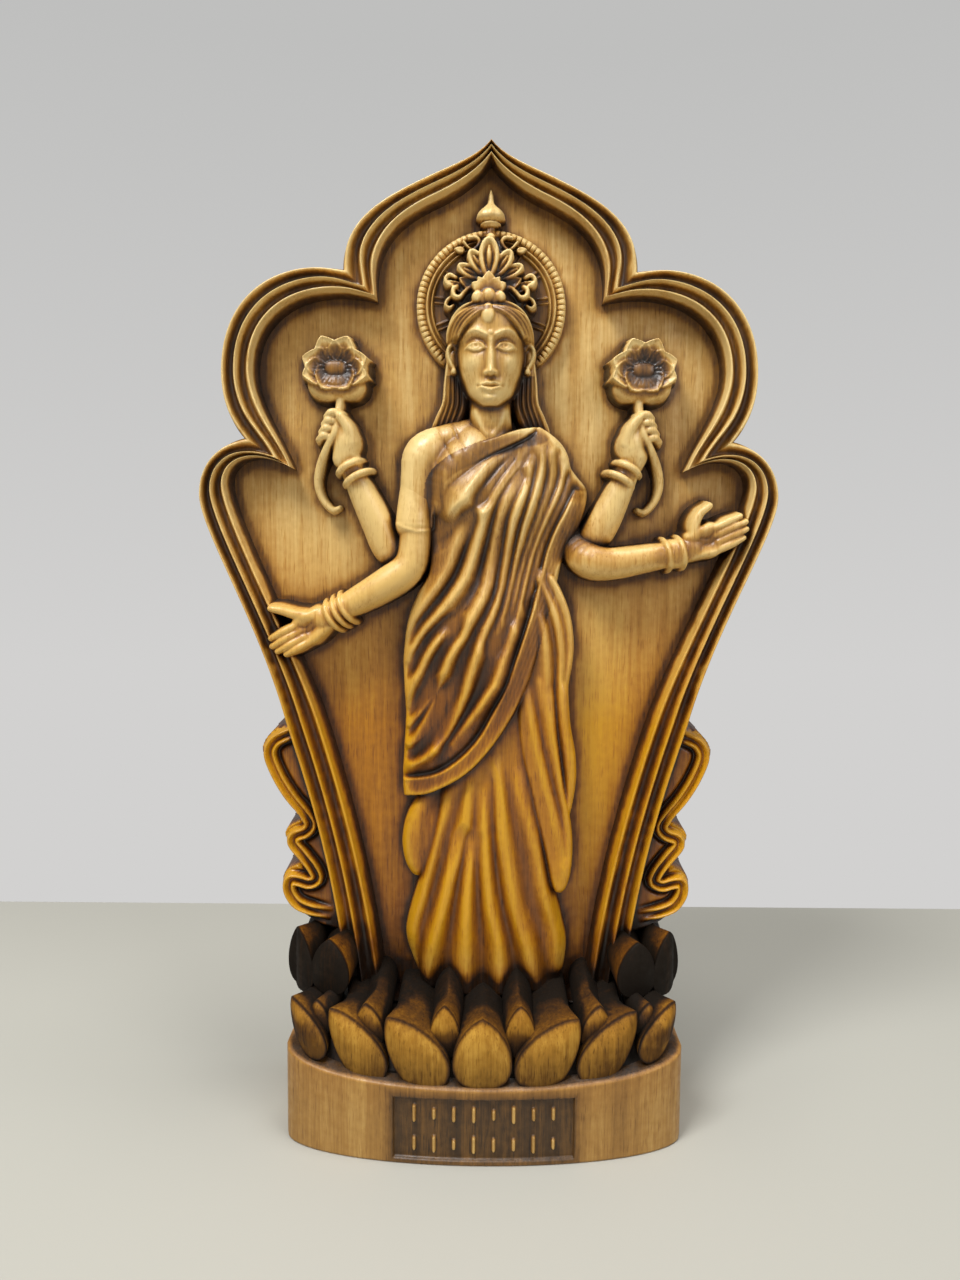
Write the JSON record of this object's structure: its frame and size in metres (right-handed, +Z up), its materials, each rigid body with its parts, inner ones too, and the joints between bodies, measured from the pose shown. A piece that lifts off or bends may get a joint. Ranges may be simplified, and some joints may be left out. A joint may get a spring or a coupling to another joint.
{
  "type": "lakshmi figure",
  "caption": "Standing altar relief of a four-armed goddess in a cusped frame, on a lotus and a round-fronted plinth, carved from one block of wood.",
  "frame": {"origin": "middle of the flat underside of the plinth, where the figure stands", "axes": "+Z up, the carved front faces -Y, +X to the viewer's right"},
  "size_m": [0.1656, 0.056, 0.28],
  "materials": {
    "carved_wood": "varnished hardwood with vertical grain, stained dark in the hollows and pale on the heights"
  },
  "bodies": {
    "root": {"lakshmi_figure": "carved_wood"}
  },
  "joints": []
}
